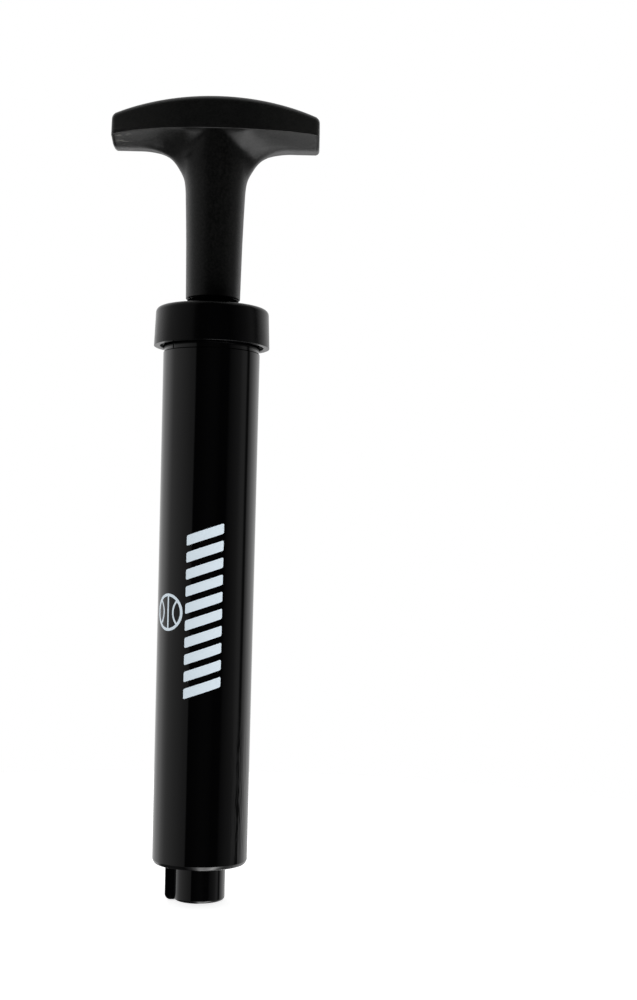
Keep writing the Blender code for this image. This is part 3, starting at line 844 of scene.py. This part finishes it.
def start_finish(name, colour, roughness, metallic=0.0, ior=1.5):
    """A new material, its tree and shader, and the place on the piece in millimetres."""
    made = bpy.data.materials.new(name)
    made.use_nodes = True
    tree = made.node_tree
    shader = tree.nodes["Principled BSDF"]
    shader.inputs["Base Color"].default_value = (*colour, 1)
    shader.inputs["Roughness"].default_value = roughness
    shader.inputs["Metallic"].default_value = metallic
    shader.inputs["IOR"].default_value = ior
    place = stretched(tree, node(tree, "TexCoord").outputs["Object"], (1 / MM,) * 3)
    return made, tree, shader, place


def vary_roughness(tree, shader, place, scale, low, high):
    """Let the roughness drift between two values over soft patches."""
    patches = noise(tree, place, scale, 4.0)
    tree.links.new(between(tree, patches, 0.3, 0.7, low, high), shader.inputs["Roughness"])


def gloss_black():
    """Glossy moulded black, slightly wavy, and more so low on the barrel's right side."""
    made, tree, shader, place = start_finish("gloss_black", DEEP_BLACK, 0.07)
    haze = noise(tree, place, 0.35, 4.0, 0.6)
    tree.links.new(between(tree, haze, 0.35, 0.7, 0.05, 0.1), shader.inputs["Roughness"])
    drawn = noise(tree, stretched(tree, place, (1, 1, 0.06)), 0.22, 1.0)
    right, _, up = node(tree, "SeparateXYZ", {0: place}).outputs
    on_right = between(tree, right, *RIPPLE_SIDE, smooth=True)
    low_down = between(tree, up, RIPPLE_TOP, RIPPLE_TOP - RIPPLE_FADE, smooth=True)
    waves = noise(tree, stretched(tree, place, (1, 1, 0.16)), 0.6, 2.0, 0.6)
    ripple = maths(tree, "MULTIPLY", waves, maths(tree, "MULTIPLY", on_right, low_down))
    flow = bump(tree, ripple, RIPPLE_DEPTH, bump(tree, drawn, 0.05))
    peel = bump(tree, noise(tree, place, 2.2, 2.0), 0.0006, flow)
    tree.links.new(peel, shader.inputs["Normal"])
    return made


def satin_black():
    """Satin moulded black with a faint grain, for the cap and the rod."""
    made, tree, shader, place = start_finish("satin_black", DEEP_BLACK, 0.2, ior=1.3)
    vary_roughness(tree, shader, place, 0.5, 0.18, 0.25)
    grain = bump(tree, noise(tree, place, 5.0, 3.0, 0.7), 0.006)
    tree.links.new(grain, shader.inputs["Normal"])
    return made


def painted_shade_black():
    """Painted shade: a dull black with almost no reflection for the bush's collar, which fills the
    dark gap under the stem.
    """
    made, tree, shader, place = start_finish("painted_shade_black", (0.001, 0.001, 0.001), 0.6, ior=1.04)
    vary_roughness(tree, shader, place, 0.8, 0.55, 0.7)
    tree.links.new(bump(tree, noise(tree, place, 4.0, 3.0), 0.02), shader.inputs["Normal"])
    return made


def wear_and_painted_light_places(tree, place):
    """Where the handle is scuffed (its lower left end), and where it is specked, together with
    painted light that lightens the T-bar towards its ends.
    """
    along, _, up = node(tree, "SeparateXYZ", {0: place}).outputs
    end = between(tree, along, SCUFF_START, -BAR_HALF, smooth=True)
    below_line = between(tree, up, PART_LINE, PART_LINE - 1.5, smooth=True)
    slanted = node(tree, "Mapping", {"Vector": place, "Rotation": (0, radians(SCUFF_TILT), 0),
                                     "Scale": (0.35, 0.35, 3.2)}).outputs[0]
    streak = between(tree, noise(tree, slanted, 1.0, 3.0, 0.6), 0.56, 0.68)
    scuff = maths(tree, "MULTIPLY", streak, maths(tree, "MULTIPLY", end, below_line))
    speck = between(tree, noise(tree, place, 1.5, 3.0, 0.8), 0.4, 0.62, 0.0, SPECK_MOST)
    # painted light: lighter from just under the crisp line upwards, and more so towards the T-bar's
    # ends
    above_line = between(tree, up, PART_LINE - 1.5, PART_LINE - 0.5)
    outwards = between(tree, maths(tree, "ABSOLUTE", along), PAINTED_LIGHT_START, BAR_HALF, 0.0, PAINTED_LIGHT_MOST)
    lightening = maths(tree, "MULTIPLY", above_line, outwards)
    return scuff, maths(tree, "ADD", speck, lightening)


def matte_black():
    """Matte moulded black with a fine grain, worn here and there, and lightened by painted light
    towards the T-bar's ends.
    """
    made, tree, shader, place = start_finish("matte_black", (0.003, 0.003, 0.003), 0.4, ior=1.38)
    # the second share holds the specks and the painted light together
    scuff, lightening = wear_and_painted_light_places(tree, place)
    wear_and_painted_light = maths(tree, "MAXIMUM", scuff, lightening)
    black = blended(tree, wear_and_painted_light, (0.001, 0.001, 0.001), WEAR_AND_PAINTED_LIGHT_BLACK)
    tree.links.new(blended(tree, scuff, black, SCUFFED_BLACK), shader.inputs["Base Color"])
    vary_roughness(tree, shader, place, 0.4, 0.3, 0.36)
    grain = bump(tree, noise(tree, place, 3.4, 3.0, 0.75), 0.05)
    tree.links.new(bump(tree, scuff, 0.04, grain), shader.inputs["Normal"])
    return made


def rubber():
    """Matte black rubber for the seals and gaskets."""
    made, tree, shader, place = start_finish("black_rubber", (0.02, 0.02, 0.02), 0.65)
    vary_roughness(tree, shader, place, 1.2, 0.58, 0.72)
    tree.links.new(bump(tree, noise(tree, place, 6.0, 3.0), 0.015), shader.inputs["Normal"])
    return made


def acetal():
    """Natural white plastic with faint turning marks, slightly see-through."""
    made, tree, shader, place = start_finish("natural_acetal", (0.75, 0.73, 0.68), 0.35, ior=1.48)
    cloud = between(tree, noise(tree, place, 0.25, 4.0), 0.35, 0.65)
    colour = blended(tree, cloud, (0.72, 0.70, 0.64), (0.78, 0.765, 0.72))
    tree.links.new(colour, shader.inputs["Base Color"])
    ridges = noise(tree, stretched(tree, place, (0.15, 0.15, 9.0)), 1.0, 1.0)
    tree.links.new(bump(tree, ridges, 0.01), shader.inputs["Normal"])
    shader.inputs["Subsurface Weight"].default_value = 0.15
    shader.inputs["Subsurface Radius"].default_value = (1.2 * MM, 1.1 * MM, 1.0 * MM)
    shader.inputs["Subsurface Scale"].default_value = 1.0
    return made


def steel():
    """Polished steel for the valve's ball and spring."""
    made, tree, shader, place = start_finish("steel", (0.62, 0.62, 0.64), 0.18, metallic=1.0)
    vary_roughness(tree, shader, place, 2.0, 0.12, 0.26)
    return made


def brass():
    """Turned brass with fine rings from the tool."""
    made, tree, shader, place = start_finish("brass", (0.72, 0.52, 0.22), 0.25, metallic=1.0)
    tone = blended(tree, noise(tree, place, 0.7, 4.0), (0.62, 0.43, 0.17), (0.78, 0.58, 0.27))
    tree.links.new(tone, shader.inputs["Base Color"])
    rings = noise(tree, stretched(tree, place, (0.2, 0.2, 12.0)), 1.0, 2.0)
    tree.links.new(between(tree, rings, 0.3, 0.7, 0.18, 0.36), shader.inputs["Roughness"])
    tree.links.new(bump(tree, rings, 0.006), shader.inputs["Normal"])
    return made


def ink():
    """Pale blue-white ink, a little uneven, with a glow that keeps it bright in a dark studio."""
    made, tree, shader, place = start_finish("pale_ink", (0.72, 0.81, 0.87), 0.4)
    cover = between(tree, noise(tree, place, 2.5, 4.0, 0.6), 0.3, 0.6)
    colour = blended(tree, cover, (0.68, 0.77, 0.83), (0.74, 0.83, 0.89))
    tree.links.new(colour, shader.inputs["Base Color"])
    tree.links.new(between(tree, cover, 0, 1, 0.36, 0.46), shader.inputs["Roughness"])
    shader.inputs["Emission Color"].default_value = (*INK_GLOW, 1)
    shader.inputs["Emission Strength"].default_value = INK_GLOW_LEVEL
    return made


# ---- camera, light and floor ----

def camera():
    """A level camera in front of the pump, to the right of its axis and rolled a little."""
    data = bpy.data.cameras.new("camera")
    data.lens = CAMERA_LENS
    data.sensor_width = CAMERA_SENSOR
    data.shift_y = CAMERA_SHIFT
    made = bpy.data.objects.new("camera", data)
    bpy.context.scene.collection.objects.link(made)
    made.matrix_world = (Matrix.Translation(CAMERA_PLACE)
                         @ Matrix.Rotation(radians(90), 4, "X")
                         @ Matrix.Rotation(radians(CAMERA_ROLL), 4, "Z"))
    bpy.context.scene.camera = made


def light_ring(tree, turn, stops):
    """Brightness round the studio, read from stops of (degrees, brightness)."""
    brightest = max(light for _, light in stops)
    made = node(tree, "ValToRGB", {"Fac": turn})
    elements = made.color_ramp.elements
    while len(elements) < len(stops):
        elements.new(0.5)
    for element, (degrees, light) in zip(elements, stops):
        element.position = degrees / 360 + 0.5
        element.color = (*(light / brightest,) * 3, 1)
    return maths(tree, "MULTIPLY", made.outputs["Color"], brightest)


def studio():
    """Soft light from the sides, the back and below, a dark front, and a white background."""
    world = bpy.data.worlds.new("studio")
    bpy.context.scene.world = world
    world.use_nodes = True
    tree = world.node_tree
    way = node(tree, "SeparateXYZ", {0: node(tree, "TexCoord").outputs["Generated"]})
    right, back, up = way.outputs
    front = maths(tree, "MULTIPLY", back, -1.0)
    turn = between(tree, maths(tree, "ARCTAN2", right, front), -pi, pi)
    height = maths(tree, "ARCSINE", up)

    light = light_ring(tree, turn, LIGHT_LEVEL)
    takeovers = (
        (TO_BELOW, light_ring(tree, turn, LIGHT_BELOW)),
        (TO_ABOVE, light_ring(tree, turn, LIGHT_ABOVE)),
        (TO_UNDERNEATH, LIGHT_UNDERNEATH),
    )
    for (start, end), taking_over in takeovers:
        share = between(tree, height, radians(start), radians(end), smooth=True)
        light = mixed(tree, share, light, taking_over)

    seen = tree.nodes["Background"]
    seen.inputs["Color"].default_value = (1, 1, 1, 1)
    shining = node(tree, "Background", {"Strength": light})
    straight = node(tree, "LightPath").outputs["Is Camera Ray"]
    both = node(tree, "MixShader", {0: straight, 1: shining.outputs[0], 2: seen.outputs[0]})
    tree.links.new(both.outputs[0], tree.nodes["World Output"].inputs["Surface"])


def floor():
    """A plain pale floor for the camera, which the pump neither reflects nor is lit by."""
    finish, tree, shader, place = start_finish("pale_floor", (0.95, 0.95, 0.95), 0.9)
    mottle = blended(tree, noise(tree, place, 0.02, 3.0), (0.94, 0.94, 0.94), (0.97, 0.97, 0.97))
    tree.links.new(mottle, shader.inputs["Base Color"])
    shader.inputs["Emission Color"].default_value = (1, 1, 1, 1)
    shader.inputs["Emission Strength"].default_value = FLOOR_GLOW
    bm = bmesh.new()
    bmesh.ops.create_circle(bm, cap_ends=True, segments=96, radius=FLOOR_R)
    bmesh.ops.translate(bm, verts=bm.verts, vec=(0, 0, -FLOOR_GAP))
    made = add_object("floor", bm, finish=finish)
    made.visible_glossy = False
    made.visible_diffuse = False
    made.visible_shadow = False


def carry_over(names, look):
    """Give CAD nodes that are shown as they are their own look."""
    for name in names:
        mesh = bpy.data.objects[name].data
        mesh.materials.clear()
        mesh.materials.append(look)


camera()
studio()
floor()

satin = satin_black()
handle(matte_black())
barrel(gloss_black())
cap(satin)
# the bush's black collar is painted shade in the gap under the stem
bush(painted_shade_black())
rod(satin)
needle_socket(brass())

printed = ink()
printed_bars(printed)
printed_ball(printed)

carry_over(("outlet_ball", "outlet_spring"), steel())
carry_over(("seal_retainer", "transfer_tube", "tube_gland_ring", "outlet_valve_seat",
            "intake_flap_retainer", "piston_body", "inner_seal_retainer", "rod_top_plug"), acetal())
carry_over(("cap_gasket", "rod_lip_seal", "transfer_tube_o_ring", "needle_gasket", "intake_flap",
            "piston_seal", "inner_seal", "lower_valve_disc", "upper_valve_sleeve",
            "bumper_ring"), rubber())

bpy.context.scene.view_settings.view_transform = "Standard"
